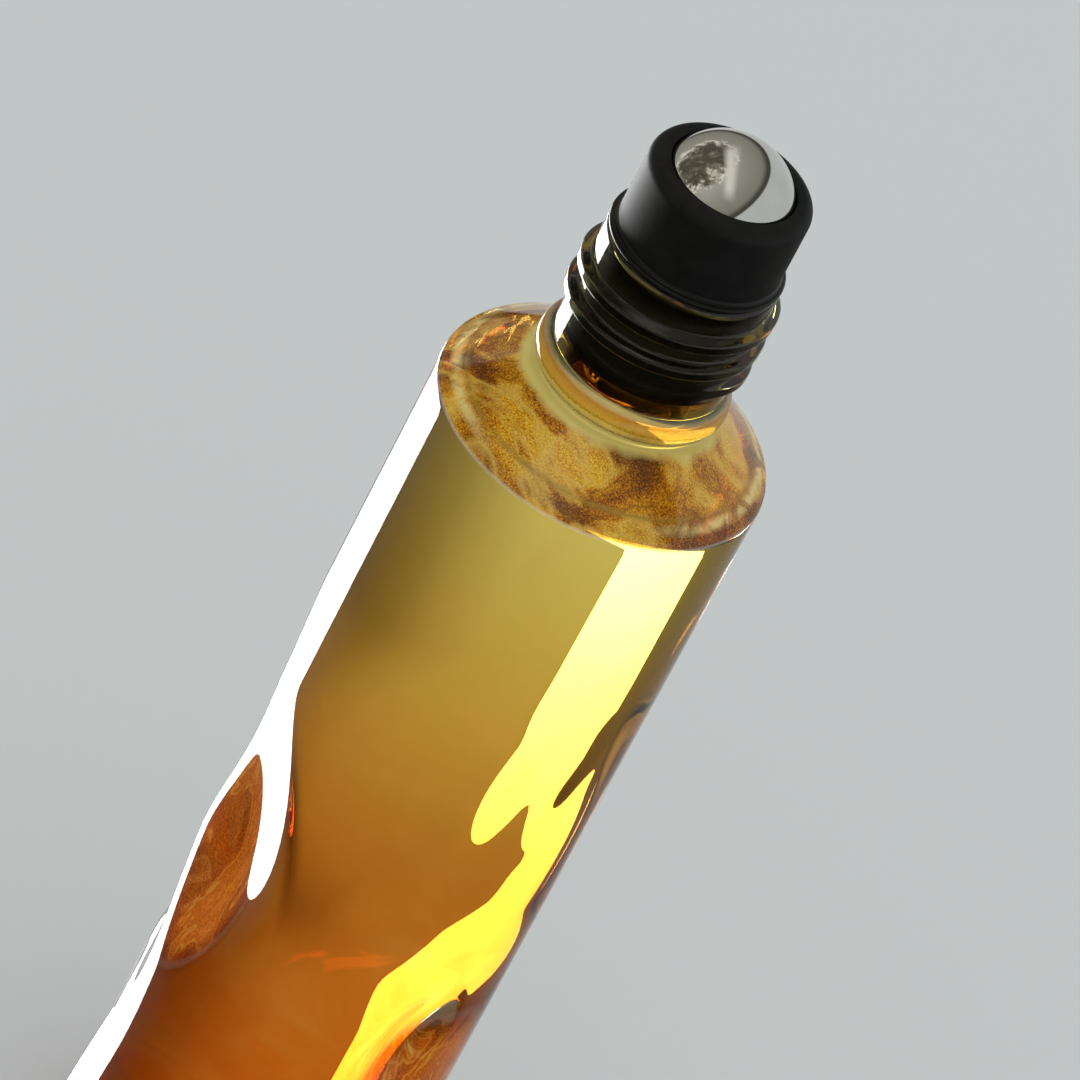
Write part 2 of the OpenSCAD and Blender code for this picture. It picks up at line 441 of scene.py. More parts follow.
# The feed channels are in the socket below this height
SEAT_TOP = BALL_Z - 0.45 * SOCKET_R
CHANNELS = 6
CHANNEL_DEPTH = 0.35 * MM
CHANNEL_HALF = 0.35 * MM
# The plug's lowest stretch draws in, so that it finds the bore
LEAD_IN_H = 0.5 * MM
LEAD_IN_DEPTH = 0.25 * MM
PLUG_FOOT_R = PLUG_R - 0.3 * MM
# The flange's underside stays a hair off the lip of the glass
SEAT_GAP = 0.01 * MM
print("ball, mm:", in_mm([2 * BALL_R]), "mouth:", in_mm([2 * MOUTH_R]))


# %% The housing's outline
def plug_side():
    """The plug's side, upwards: a straight wall with a smooth swelling at each sealing ring."""
    z = np.linspace(PLUG_Z, LIP_Z - 2 * SEAT_GAP, 90)
    step = (LIP_Z - PLUG_Z - 2 * RING_H) / RINGS
    r = np.full_like(z, PLUG_R)
    for i in range(RINGS):
        middle = PLUG_Z + RING_H * 1.5 + i * step
        r += RING_BITE * ease(1.5 - np.abs(z - middle) / RING_H * 2)
    r -= LEAD_IN_DEPTH * ease((PLUG_Z + LEAD_IN_H - z) / LEAD_IN_H)
    return np.stack([r, z], axis=1)


def housing_profile():
    """Closed outline: up the plug, out over the flange, up the collar, into the socket and out
    through the hollow plug.
    """
    mouth = COLLAR_Z - MOUTH_ROUND
    low = math.degrees(math.asin(FEED_R / SOCKET_R))
    high = math.degrees(math.atan2(mouth - BALL_Z, MOUTH_R))
    web = BALL_Z - SOCKET_R - WEB_T
    half = FLANGE_T / 2
    return np.concatenate([
        plug_side(),
        line((PLUG_R, LIP_Z + SEAT_GAP), (FLANGE_R - half, LIP_Z + SEAT_GAP), 6),
        arc((FLANGE_R - half, LIP_Z + half), half, -90, 90, 12),
        arc((COLLAR_R + FILLET, LIP_Z + FLANGE_T + FILLET), FILLET, 270, 180, 10),
        line((COLLAR_R, LIP_Z + FLANGE_T + FILLET + 0.1 * MM), (COLLAR_R, COLLAR_Z - RIM_R), 12),
        arc((COLLAR_R - RIM_R, COLLAR_Z - RIM_R), RIM_R, 0, 90, 14),
        arc((MOUTH_R + MOUTH_ROUND, mouth), MOUTH_ROUND, 90, 180, 6),
        arc((0, BALL_Z), SOCKET_R, high, low - 90, 40)[1:],
        line((FEED_R, web + WEB_T * 0.8), (FEED_R, web), 4),
        line((FEED_R, web), (PLUG_BORE_R, web), 5),
        line((PLUG_BORE_R, web), (PLUG_BORE_R, PLUG_Z), 10),
        line((PLUG_BORE_R, PLUG_Z), (PLUG_FOOT_R, PLUG_Z), 4),
    ])


def housing_shape(r, z, t):
    """Opens the feed channels in the seat: r + depth * ease(2 - 2 x) on the socket's low part, where
    x is the turn away from the nearest channel's middle in half widths.
    """
    seat = (z < SEAT_TOP) & (z > BALL_Z - SOCKET_R) & (r < SOCKET_R * 0.9)
    near = np.abs((t * CHANNELS / (2 * np.pi) + 0.5) % 1 - 0.5)
    wide = CHANNEL_HALF * CHANNELS / (2 * np.pi * np.maximum(r, MM))
    return r + np.where(seat, CHANNEL_DEPTH * ease(2 - 2 * near / wide), 0)


HOUSING_SEGMENTS = 192
housing = skin("black_housing", carry_round(housing_profile(), HOUSING_SEGMENTS, housing_shape))
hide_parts("roller_housing")
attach(housing, "bottle")

# %% [markdown]
# ## The ball
#
# The real ball is ground steel, as round as a bearing's. Blender's own UV sphere would do. Here it is
# an arc carried round like the rest, with enough rings that its mirror shows no flats.

# %% Ball
BALL_SEGMENTS = 160
BALL_RINGS = 90
# The first and last ring stand this many degrees off the poles
POLE_GAP = 1


def ball_points():
    """Sphere as rings of latitude: centre + R (cos b cos t, cos b sin t, sin b)."""
    profile = arc((0, BALL_Z), BALL_R, POLE_GAP - 90, 90 - POLE_GAP, BALL_RINGS)
    return carry_round(profile, BALL_SEGMENTS)


ball = skin("steel_ball", ball_points(), (0, 0, BALL_Z - BALL_R), (0, 0, BALL_Z + BALL_R))
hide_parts("roller_ball")
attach(ball, "ball")

# %% [markdown]
# ## Materials
#
# Each finish is a node tree on the Principled shader. Values that are the same all over a surface
# sit on the shader's own sockets; only what varies comes from nodes, and it reads Object
# coordinates, so it stays on the piece.

# %% Materials and nodes
def new_material(name):
    """A material with an empty Principled shader; returns the material, its tree and the shader."""
    material = bpy.data.materials.new(name)
    material.use_nodes = True
    tree = material.node_tree
    return material, tree, tree.nodes["Principled BSDF"]


def node(tree, kind, **values):
    """A node with the given attributes, or input values where the name is an input's."""
    made = tree.nodes.new(kind)
    for name, value in values.items():
        if hasattr(made, name):
            setattr(made, name, value)
        else:
            made.inputs[name.replace("_", " ")].default_value = value
    return made


# %% Patterns
def ramp(tree, source, stops):
    """Colour ramp over a value: stops are (place, colour)."""
    made = tree.nodes.new("ShaderNodeValToRGB")
    while len(made.color_ramp.elements) < len(stops):
        made.color_ramp.elements.new(0.5)
    for element, (place, colour) in zip(made.color_ramp.elements, stops):
        element.position = place
        element.color = (*colour, 1)
    tree.links.new(source, made.inputs["Fac"])
    return made.outputs["Color"]


def object_place(tree, scale=(1, 1, 1)):
    """Object coordinates times a scale."""
    place = tree.nodes.new("ShaderNodeTexCoord")
    mapping = node(tree, "ShaderNodeMapping")
    mapping.inputs["Scale"].default_value = scale
    tree.links.new(place.outputs["Object"], mapping.inputs["Vector"])
    return mapping.outputs["Vector"]


def noise(tree, place, scale, detail, roughness=0.55, distortion=0.0):
    """Noise value at a place, with about scale bumps to one unit of it."""
    made = node(tree, "ShaderNodeTexNoise", Scale=scale, Detail=detail, Roughness=roughness,
                Distortion=distortion)
    tree.links.new(place, made.inputs["Vector"])
    return made.outputs["Fac"]


def between(tree, value, low, high, to_low, to_high, clamp=True):
    """Value carried from the range low to high to the range to_low to to_high, and held at its
    ends unless clamp is False.
    """
    made = node(tree, "ShaderNodeMapRange", clamp=clamp)
    ends = {"From Min": low, "From Max": high, "To Min": to_low, "To Max": to_high}
    for name, number in ends.items():
        made.inputs[name].default_value = number
    tree.links.new(value, made.inputs["Value"])
    return made.outputs["Result"]


def bump(tree, height, distance, strength=1.0):
    """Bump node: its normal from a height value."""
    made = node(tree, "ShaderNodeBump", Strength=strength, Distance=distance)
    tree.links.new(height, made.inputs["Height"])
    return made.outputs["Normal"]


# %% Mixed colours
def mix_colour(tree, factor, first, second):
    """Colour between two colours or sockets, by a factor."""
    made = tree.nodes.new("ShaderNodeMix")
    made.data_type = "RGBA"
    tree.links.new(factor, made.inputs["Factor"])
    for name, value in (("A", first), ("B", second)):
        socket = [i for i in made.inputs if i.name == name and i.type == "RGBA"][0]
        if isinstance(value, tuple):
            socket.default_value = (*value, 1)
        else:
            tree.links.new(value, socket)
    return [o for o in made.outputs if o.type == "RGBA"][0]


# %% Measures of a place
def axis_distance(tree, directions=(1, 1, 0)):
    """Distance from the bottle's axis, from Object coordinates, along x alone or x and y."""
    length = node(tree, "ShaderNodeVectorMath", operation="LENGTH")
    tree.links.new(object_place(tree, directions), length.inputs[0])
    return length.outputs["Value"]


def height_above(tree):
    """Height above the table, from Object coordinates."""
    split = tree.nodes.new("ShaderNodeSeparateXYZ")
    tree.links.new(object_place(tree), split.inputs["Vector"])
    return split.outputs["Z"]


def dot_with(tree, vector, direction):
    """Dot product of a vector with a fixed direction."""
    made = node(tree, "ShaderNodeVectorMath", operation="DOT_PRODUCT")
    made.inputs[1].default_value = direction
    tree.links.new(vector, made.inputs[0])
    return made.outputs["Value"]


# %% Sums, products and masks
def product(tree, *values):
    """Product of several values."""
    value = values[0]
    for other in values[1:]:
        times = node(tree, "ShaderNodeMath", operation="MULTIPLY")
        tree.links.new(value, times.inputs[0])
        tree.links.new(other, times.inputs[1])
        value = times.outputs[0]
    return value


def largest(tree, first, second):
    """The larger of two values."""
    made = node(tree, "ShaderNodeMath", operation="MAXIMUM")
    tree.links.new(first, made.inputs[0])
    tree.links.new(second, made.inputs[1])
    return made.outputs[0]


def weighted_sum(tree, first, weight, second):
    """first * weight + second."""
    made = node(tree, "ShaderNodeMath", operation="MULTIPLY_ADD")
    tree.links.new(first, made.inputs[0])
    made.inputs[1].default_value = weight
    tree.links.new(second, made.inputs[2])
    return made.outputs[0]


def ring_mask(tree, radius, low, high, soft):
    """1 between two radii and 0 outside them, over a soft edge."""
    return product(tree, between(tree, radius, low - soft, low, 0, 1),
                   between(tree, radius, high + soft, high, 0, 1))


def thin_lines(tree, value, middle, half):
    """1 where a value is near its middle, 0 past half a line's width: the edges of soft folds."""
    return product(tree, between(tree, value, middle - half, middle, 0, 1),
                   between(tree, value, middle + half, middle, 0, 1))


# %% [markdown]
# ## Painted refracted light under the shoulder
#
# Under the shoulder the real glass is full of broken light, which comes out as fine gold grain in
# silky folds. Getting that from the shape alone would take countless tiny facets and many more light
# paths, so it is painted here: on the shoulder and the bead the glass lets through only a part of the
# light, and the rest is a gold pattern of painted refracted light. The body stays clear.

# %% Painted gold refraction
# The share of the light that the painted pattern stops on the shoulder and on the bead
SHIMMER_COVER = 0.78
# Two rings on the shoulder, each between two radii: a soft ring of painted shade and, at the sides, a
# paler rim of painted highlight
SHADE_RING_RADII = (9.55 * MM, 9.6 * MM)
SHADE_RING_SOFT = 0.25 * MM
RIM_RADII = (10.0 * MM, 10.2 * MM)
RIM_SOFT = 0.3 * MM
# The rim's painted highlight comes in over this stretch of distance along x
RIM_SIDE = (5 * MM, 8 * MM)
# The summed pattern runs about from the first to the second value, and the gold ramp over that
GOLD_SPAN = (1.16, 1.78)
# Colours of painted light: thin lines of painted shade and of painted highlight along the folds, the
# ring of painted shade and the rim's painted highlight
SHADE_LINE_COLOUR = (0.16, 0.055, 0.005)
HIGHLIGHT_LINE_COLOUR = (0.78, 0.55, 0.10)
SHADE_RING_COLOUR = (0.34, 0.20, 0.03)
RIM_HIGHLIGHT_COLOUR = (0.80, 0.66, 0.24)


def painted_shimmer_colour(tree, radius):
    """Painted refracted light: gold folds with fine grain, from swirled noise and waves through a ramp
    from brown to pale gold, with thin lines of painted shade and painted highlight along the folds, a
    soft ring of painted shade inside the shoulder's edge, and a paler rim of painted highlight where
    the shoulder is seen from its sides.
    """
    place = object_place(tree)
    folds = noise(tree, place, 95, detail=2.5, roughness=0.45, distortion=2.6)
    silk = noise(tree, place, 330, detail=3, roughness=0.6, distortion=1.6)
    grain = noise(tree, place, 9000, detail=1, roughness=0.8)
    waves = node(tree, "ShaderNodeTexWave", wave_type="BANDS", bands_direction="DIAGONAL",
                 Scale=38, Distortion=15, Detail=2.5, Detail_Scale=1.7, Detail_Roughness=0.6)
    tree.links.new(place, waves.inputs["Vector"])
    flow = weighted_sum(tree, waves.outputs["Fac"], 0.26, weighted_sum(tree, silk, 0.42, folds))
    grainy = weighted_sum(tree, grain, 1.1, flow)
    gold = ramp(tree, between(tree, grainy, *GOLD_SPAN, 0, 1), [
        (0.00, (0.12, 0.034, 0.002)),
        (0.25, (0.32, 0.100, 0.004)),
        (0.50, (0.52, 0.205, 0.006)),
        (0.74, (0.70, 0.36, 0.014)),
        (1.00, (0.82, 0.57, 0.06)),
    ])
    # Thin lines of painted shade, then of painted highlight, along the folds
    shade = between(tree, thin_lines(tree, folds, 0.45, 0.02), 0, 1, 0, 0.6)
    gold = mix_colour(tree, shade, gold, SHADE_LINE_COLOUR)
    highlight_lines = between(tree, thin_lines(tree, folds, 0.54, 0.06), 0, 1, 0, 0.55)
    gold = mix_colour(tree, highlight_lines, gold, HIGHLIGHT_LINE_COLOUR)
    # A broken ring of painted shade, and at the sides a paler rim of painted highlight
    broken = between(tree, silk, 0.40, 0.56, 0.15, 0.8)
    shade_ring = product(tree, ring_mask(tree, radius, *SHADE_RING_RADII, SHADE_RING_SOFT), broken)
    gold = mix_colour(tree, shade_ring, gold, SHADE_RING_COLOUR)
    aside = between(tree, axis_distance(tree, (1, 0, 0)), *RIM_SIDE, 0, 1)
    rim = product(tree, ring_mask(tree, radius, *RIM_RADII, RIM_SOFT), broken, aside)
    return mix_colour(tree, rim, gold, RIM_HIGHLIGHT_COLOUR)


# %% [markdown]
# ## The bead
#
# The round ring at the neck's foot is a lens on its side, and shows what lies behind it as bands that
# run round it. Traced light gave bands too, but not the photo's soft straw and orange, so the bands
# are a ramp up the bead, and a little grain keeps their edges from looking drawn.

# %% Bands of the bead
def bead_colour(tree, height):
    """Bands up the bead, as its round glass bends the light: pale straw at its foot, a thin olive
    line, gold, and grainy orange brown at its top.
    """
    grain = noise(tree, object_place(tree), 5200, detail=2, roughness=0.8)
    level = between(tree, height, NECK_Z - 0.25 * MM, NECK_Z + BEAD_H, -0.12, 0.88)
    return ramp(tree, weighted_sum(tree, grain, 0.24, level), [
        (0.00, (0.72, 0.60, 0.17)),
        (0.26, (0.74, 0.62, 0.20)),
        (0.32, (0.30, 0.23, 0.04)),
        (0.38, (0.64, 0.50, 0.12)),
        (0.50, (0.66, 0.46, 0.08)),
        (0.54, (0.34, 0.20, 0.02)),
        (0.60, (0.60, 0.33, 0.03)),
        (0.86, (0.42, 0.17, 0.01)),
    ])


# %% [markdown]
# ## Painted amber refraction
#
# In two places low on the body the real glass shows the deepest of the oil, a grainy red amber. Here
# that is painted refracted light, done like the shimmer in two soft ovals, and its thin orange lines
# are painted glints. The colour comes in before the cover does, so that no pale rim of half-covered
# clear glass shows round them.

# %% Ovals
# The share of the light that is stopped in the middle of an oval
PAINTED_AMBER_COVER = 0.74
# How deep in an oval, from 0 at its edge to 1 in its middle, its colour and its cover come in
COLOUR_COMES = (0, 0.28)
COVER_COMES = (0.12, 0.50)
# Each row is an oval: turn in degrees, drop below the shoulder's edge in mm, half width in degrees,
# half height in mm.
# Ovals of painted refracted light with painted glints
PAINTED_AMBER_OVALS = [
    (211, 40, 26, 11),
    (332, 57, 36, 16),
]


def oval_mask(tree, height, turn, drop, half_turn, half_height):
    """How deep in an oval on the body a place lies, 1 in its middle and 0 outside: 1 - q, with
    q = (1 - cos a) / (1 - cos half_turn) + (height away / half_height)^2, where a is the turn away
    from the oval's middle.
    """
    level = node(tree, "ShaderNodeVectorMath", operation="NORMALIZE")
    tree.links.new(object_place(tree, (1, 1, 0)), level.inputs[0])
    middle = math.radians(turn)
    facing = dot_with(tree, level.outputs["Vector"], (math.cos(middle), math.sin(middle), 0))
    round_part = between(tree, facing, math.cos(math.radians(half_turn)), 1, 1, 0, clamp=False)
    away = node(tree, "ShaderNodeMath", operation="SUBTRACT")
    tree.links.new(height, away.inputs[0])
    away.inputs[1].default_value = EDGE_Z - drop * MM
    squared = product(tree, away.outputs[0], away.outputs[0])
    q = weighted_sum(tree, squared, 1 / (half_height * MM) ** 2, round_part)
    return between(tree, q, 1, 0, 0, 1)


# %% Red amber
# The summed pattern's span, as for the gold, and the colour of the thin lines, which are painted
# glints
AMBER_SPAN = (0.60, 1.20)
AMBER_GLINT_COLOUR = (0.85, 0.34, 0.04)


def painted_amber_colour(tree):
    """Painted refracted light: red amber with grain, and thin orange lines of painted glint that run
    up the glass.
    """
    place = object_place(tree, (1, 1, 0.3))
    flow = noise(tree, place, 330, detail=3, roughness=0.5, distortion=1.2)
    grain = noise(tree, object_place(tree), 7000, detail=2, roughness=0.8)
    grainy = weighted_sum(tree, grain, 0.8, flow)
    amber = ramp(tree, between(tree, grainy, *AMBER_SPAN, 0, 1), [
        (0.00, (0.14, 0.024, 0.002)),
        (0.35, (0.42, 0.085, 0.006)),
        (0.70, (0.70, 0.175, 0.012)),
        (1.00, (0.86, 0.31, 0.04)),
    ])
    # Thin orange lines of painted glint
    ridge = between(tree, thin_lines(tree, flow, 0.52, 0.018), 0, 1, 0, 0.8)
    return mix_colour(tree, ridge, amber, AMBER_GLINT_COLOUR)


# %% [markdown]
# ## Clear glass
#
# Away from the painted places the glass is as plain as the real one: no roughness, full transmission
# and the index of common glass. A faint yellow tint that wanders a little keeps it from looking like
# empty space. The neck is tinted olive, as the photo shows it over the black plug, and the lip is
# painted dark, a painted shade where the black plug lies behind it.

# %% Glass finish
GLASS_IOR = 1.5
OIL_IOR = 1.49
# The outer skin starts between the first two radii on the shoulder, and the second two on the body
SHOULDER_SKIN = (BORE_R * 1.36, BORE_R * 1.38)
BODY_SKIN = (8 * MM, 8.5 * MM)
# The bead's bands give way to the folds where radius + FRAY * noise goes from the first to the second
BANDS_END = (7.35 * MM, 7.85 * MM)
FRAY = 1.9 * MM
# The painted shoulder comes in over this stretch of height, and the painted shade on the lip over the
# other
SHOULDER_FROM = (EDGE_Z - 0.8 * MM, EDGE_Z - 0.5 * MM)
LIP_FROM = (LIP_Z - 1.2 * MM, LIP_Z - 0.6 * MM)
NECK_TINT = (0.72, 0.72, 0.27)
# Painted shade on the lip, where the black plug lies behind the glass
LIP_SHADE_COLOUR = (0.20, 0.19, 0.06)


def glass_finish():
    """Thick glass: nearly clear on the body, olive on the neck and painted shade under the lip, with
    painted gold refracted light on shoulder and bead, and painted amber refraction low on the body.
    """
    material, tree, shader = new_material("bottle_glass")
    shader.inputs["Roughness"].default_value = 0.0
    shader.inputs["IOR"].default_value = GLASS_IOR
    radius, height = axis_distance(tree), height_above(tree)
    clear = ramp(tree, noise(tree, object_place(tree), 90, detail=2), [
        (0.3, (0.93, 0.90, 0.80)),
        (0.7, (0.97, 0.94, 0.85)),
    ])
    neck = between(tree, height, NECK_Z + 0.3 * BEAD_H, NECK_Z + 1.2 * BEAD_H, 0, 1)
    tint = mix_colour(tree, neck, clear, NECK_TINT)
    # Painted shade: the lip is darkened where the black plug shows through
    lip = between(tree, height, *LIP_FROM, 0, 1)
    tint = mix_colour(tree, lip, tint, LIP_SHADE_COLOUR)
    # Painted refracted light on the shoulder and the bead, which stops part of the light
    shoulder = product(tree, between(tree, radius, *SHOULDER_SKIN, 0, 1),
                       between(tree, height, *SHOULDER_FROM, 0, 1),
                       between(tree, height, NECK_Z + BEAD_H, NECK_Z + 0.8 * BEAD_H, 0, 1))
    frayed = weighted_sum(tree, noise(tree, object_place(tree), 190, detail=3), FRAY, radius)
    bands = between(tree, frayed, *BANDS_END, 1, 0)
    gold = mix_colour(tree, bands, painted_shimmer_colour(tree, radius), bead_colour(tree, height))
    tint = mix_colour(tree, shoulder, tint, gold)
    cover = between(tree, shoulder, 0, 1, 0, SHIMMER_COVER)
    outside = between(tree, radius, *BODY_SKIN, 0, 1)
    # Painted refracted amber and glints in the ovals, which stop part of the light
    for row in PAINTED_AMBER_OVALS:
        oval = product(tree, oval_mask(tree, height, *row), outside)
        tint = mix_colour(tree, between(tree, oval, *COLOUR_COMES, 0, 1), tint, painted_amber_colour(tree))
        cover = largest(tree, cover, between(tree, oval, *COVER_COMES, 0, PAINTED_AMBER_COVER))
    tree.links.new(tint, shader.inputs["Base Color"])
    tree.links.new(between(tree, cover, 0, 1, 1, 0), shader.inputs["Transmission Weight"])
    return material


# %% Wetted glass
def wetted_finish():
    """The cavity's wall where the oil touches it. Light bends there only by the small step from
    glass to oil, so the index is their ratio.
    """
    material, tree, shader = new_material("wetted_glass")
    shader.inputs["Transmission Weight"].default_value = 1
    shader.inputs["Roughness"].default_value = 0.0
    shader.inputs["IOR"].default_value = GLASS_IOR / OIL_IOR
    clear = ramp(tree, noise(tree, object_place(tree), 90, detail=2), [
        (0.3, (0.97, 0.96, 0.93)),
        (0.7, (1.0, 1.0, 0.98)),
    ])
    tree.links.new(clear, shader.inputs["Base Color"])
    return material


def under_oil(x, y, z):
    """The cavity's wall and floor below the oil's surface: all that lies within the bore's radius,
    and within the cavity's radius where that is below the shoulder.
    """
    radius = np.hypot(x, y)
    inside = (radius < BORE_R * 1.05) | ((radius < CAVITY_R * 1.005) & (z < EDGE_Z))
    return inside & (z < WET_Z) & (z > CAVITY_FLOOR - 0.1 * MM)


glass.data.materials.append(glass_finish())
glass.data.materials.append(wetted_finish())
second_finish(glass, under_oil)

# %% [markdown]
# ## Amber oil
#
# The real oil is one colour, but the deeper the light runs in it, the redder it comes out, and the
# photo's light runs deepest near the base. Volume absorption would show that, and the export would
# drop it, so the colour is on the oil's skin and deepens with height, with faint stirred wisps.

# %% Oil finish
# The heights between which the oil's colour changes
OIL_TINT_HEIGHTS = (EDGE_Z - 62 * MM, EDGE_Z + 5 * MM)
WISP_COLOUR = (0.95, 0.50, 0.09)


def oil_finish(name, index):
    """Oil whose colour deepens from straw at the shoulder to red amber at the base."""
    material, tree, shader = new_material(name)
    shader.inputs["Transmission Weight"].default_value = 1
    shader.inputs["Roughness"].default_value = 0.0
    shader.inputs["IOR"].default_value = index
    level = between(tree, height_above(tree), *OIL_TINT_HEIGHTS, 0, 1)
    tint = ramp(tree, level, [
        (0.00, (0.78, 0.145, 0.008)),
        (0.165, (0.80, 0.185, 0.010)),
        (0.42, (0.69, 0.250, 0.023)),
        (0.66, (0.83, 0.53, 0.085)),
        (0.80, (0.92, 0.72, 0.16)),
        (1.00, (0.95, 0.80, 0.24)),
    ])
    upright = object_place(tree, (1, 1, 0.45))
    stirred = noise(tree, upright, 150, detail=4, roughness=0.6, distortion=1.2)
    wisps = between(tree, stirred, 0.50, 0.72, 0, 0.35)
    tree.links.new(mix_colour(tree, wisps, tint, WISP_COLOUR), shader.inputs["Base Color"])
    return material


def free_surface(x, y, z):
    """The oil's open surface, which meets air."""
    return (z > OIL_Z - MENISCUS) & (np.hypot(x, y) < BORE_R)


oil.data.materials.append(oil_finish("oil_in_glass", 1.0))
oil.data.materials.append(oil_finish("oil_in_air", OIL_IOR))
second_finish(oil, free_surface)

# %% [markdown]
# ## Black moulded plastic
#
# The real collar is satin, as from a finely sanded mould, and the flange and the plug below it are
# glossier. A flat black would look cut out of paper, so the tone wanders between two near blacks, the
# gloss changes with height, and a very shallow grain breaks up the highlights.

# %% Plastic finish
PLASTIC_IOR = 1.49
FLANGE_ROUGHNESS = 0.16
COLLAR_ROUGHNESS = 0.58
GRAIN_DEPTH = 0.01 * MM


def plastic_finish():
    """Satin black: a fine moulded grain on the collar, glossier on flange and plug."""
    material, tree, shader = new_material("black_plastic")
    shader.inputs["IOR"].default_value = PLASTIC_IOR
    shader.inputs["Specular IOR Level"].default_value = 0.24
    place = object_place(tree)
    tone = ramp(tree, noise(tree, place, 600, detail=3), [
        (0.3, (0.003, 0.003, 0.003)),
        (0.7, (0.007, 0.007, 0.007)),
    ])
    tree.links.new(tone, shader.inputs["Base Color"])
    flange_top = LIP_Z + FLANGE_T
    satin = between(tree, height_above(tree), flange_top, flange_top + FILLET * 2,
                    FLANGE_ROUGHNESS, COLLAR_ROUGHNESS)
    tree.links.new(satin, shader.inputs["Roughness"])
    grain = bump(tree, noise(tree, place, 3500, detail=2), GRAIN_DEPTH, 0.3)
    tree.links.new(grain, shader.inputs["Normal"])
    return material


housing.data.materials.append(plastic_finish())
print(housing.name, "has the finish", housing.data.materials[0].name)

# %% [markdown]
# ## Polished steel
#
# A polished ball is a mirror and shows hardly any colour of its own. A perfect mirror looks computed,
# so its haze wanders a little, as on a ball that has been handled.

# %% Steel finish
def steel_finish():
    """Mirror steel with a breath of haze that varies from place to place."""
    material, tree, shader = new_material("polished_steel")
    shader.inputs["Metallic"].default_value = 1
    place = object_place(tree)
    tone = ramp(tree, noise(tree, place, 400, detail=3), [
        (0.3, (0.62, 0.61, 0.59)),
        (0.7, (0.70, 0.69, 0.67)),
    ])
    tree.links.new(tone, shader.inputs["Base Color"])
    haze = between(tree, noise(tree, place, 700, detail=4), 0.35, 0.7, 0.02, 0.07)
    tree.links.new(haze, shader.inputs["Roughness"])
    return material


ball.data.materials.append(steel_finish())
print(ball.name, "has the finish", ball.data.materials[0].name)

# %% [markdown]
# ## The floor
#
# Glass and steel have no look of their own: they show what is round them. The floor here is a
# plain pale sheet to the camera, and it takes the shadow. A real sheet would also fill the lower half
# of all that the glass shows, and hide lamps set low. So rays that bounce off the bottle or pass
# through it go straight through the floor, to the surround and the lamps.

# %% Floor finish
FLOOR_COLOUR = (0.60, 0.635, 0.64)


def ray_kind(tree, *kinds):
    """1 for rays of any of these kinds, such as "Is Camera Ray", and 0 for the rest."""
    path = tree.nodes.new("ShaderNodeLightPath")
    value = path.outputs[kinds[0]]
    for kind in kinds[1:]:
        value = largest(tree, value, path.outputs[kind])
    return value


def floor_finish():
    """Pale matt sheet to the camera and to scattered light; other rays pass through it."""
    material, tree, shader = new_material("floor")
    shader.inputs["Base Color"].default_value = (*FLOOR_COLOUR, 1)
    shader.inputs["Roughness"].default_value = 0.9
    shader.inputs["Specular IOR Level"].default_value = 0.0
    clear = tree.nodes.new("ShaderNodeBsdfTransparent")
    mix = tree.nodes.new("ShaderNodeMixShader")
    tree.links.new(ray_kind(tree, "Is Camera Ray", "Is Diffuse Ray"), mix.inputs["Fac"])
    tree.links.new(clear.outputs[0], mix.inputs[1])
    tree.links.new(shader.outputs[0], mix.inputs[2])
    tree.links.new(mix.outputs[0], tree.nodes["Material Output"].inputs["Surface"])
    return material


# %% Floor
FLOOR_HALF = 1.5


def make_floor():
    """A square sheet under the bottle, far larger than the view."""
    corners = [(x * FLOOR_HALF, y * FLOOR_HALF, 0) for x, y in ((-1, -1), (1, -1), (1, 1), (-1, 1))]
    mesh = bpy.data.meshes.new("floor")
    mesh.from_pydata(corners, [], [(0, 1, 2, 3)])
    sheet = bpy.data.objects.new("floor", mesh)
    bpy.context.collection.objects.link(sheet)
    mesh.materials.append(floor_finish())
    return sheet


make_floor()
print("floor, m:", 2 * FLOOR_HALF, "square")

# %% [markdown]
# ## The surround
#
# The real ball and glass mirror a room. A picture of a room on the world would give that at once, but
# this notebook reads no pictures, so the surround is a few ramps and noises by direction. What glass
# lets through and what it mirrors can differ here: light that has come through the bottle meets a
# pale wall at eye level, which keeps the oil glowing from the sides and the back.

# %% Colours of the surround
# What the camera sees past the floor's edge
BACKDROP = (0.585, 0.62, 0.625)
# Low behind the bottle, from its left end (x = -1) to its right end (x = 1)
BEHIND = [
    (0.00, (0.12, 0.11, 0.10)),
    (0.16, (0.25, 0.24, 0.22)),
    (0.36, (0.68, 0.70, 0.70)),
    (0.52, (0.62, 0.64, 0.64)),
    (0.60, (0.50, 0.50, 0.49)),
    (0.68, (0.33, 0.32, 0.30)),
    (0.86, (0.11, 0.09, 0.09)),
    (1.00, (0.10, 0.09, 0.09)),
]
# Low in front, for what mirrors it
FRONT_LOW = (0.012, 0.011, 0.011)
FRONT_HIGH = (0.035, 0.034, 0.03)
# For light that has come through the bottle: low in front, and from below eye level upwards
THROUGH_FRONT = (0.17, 0.14, 0.09)
EYE_LEVEL = (0.50, 0.51, 0.50)
# Above, for what mirrors it: tan grey on the left, a light sheet on the right, a dark line between
SKY_LEFT = [
    (0.00, (0.52, 0.51, 0.45)),
    (0.45, (0.36, 0.35, 0.30)),
    (0.85, (0.27, 0.26, 0.215)),
]
SKY_RIGHT = (0.58, 0.61, 0.59)
SKY_EDGE = (0.075, 0.073, 0.06)
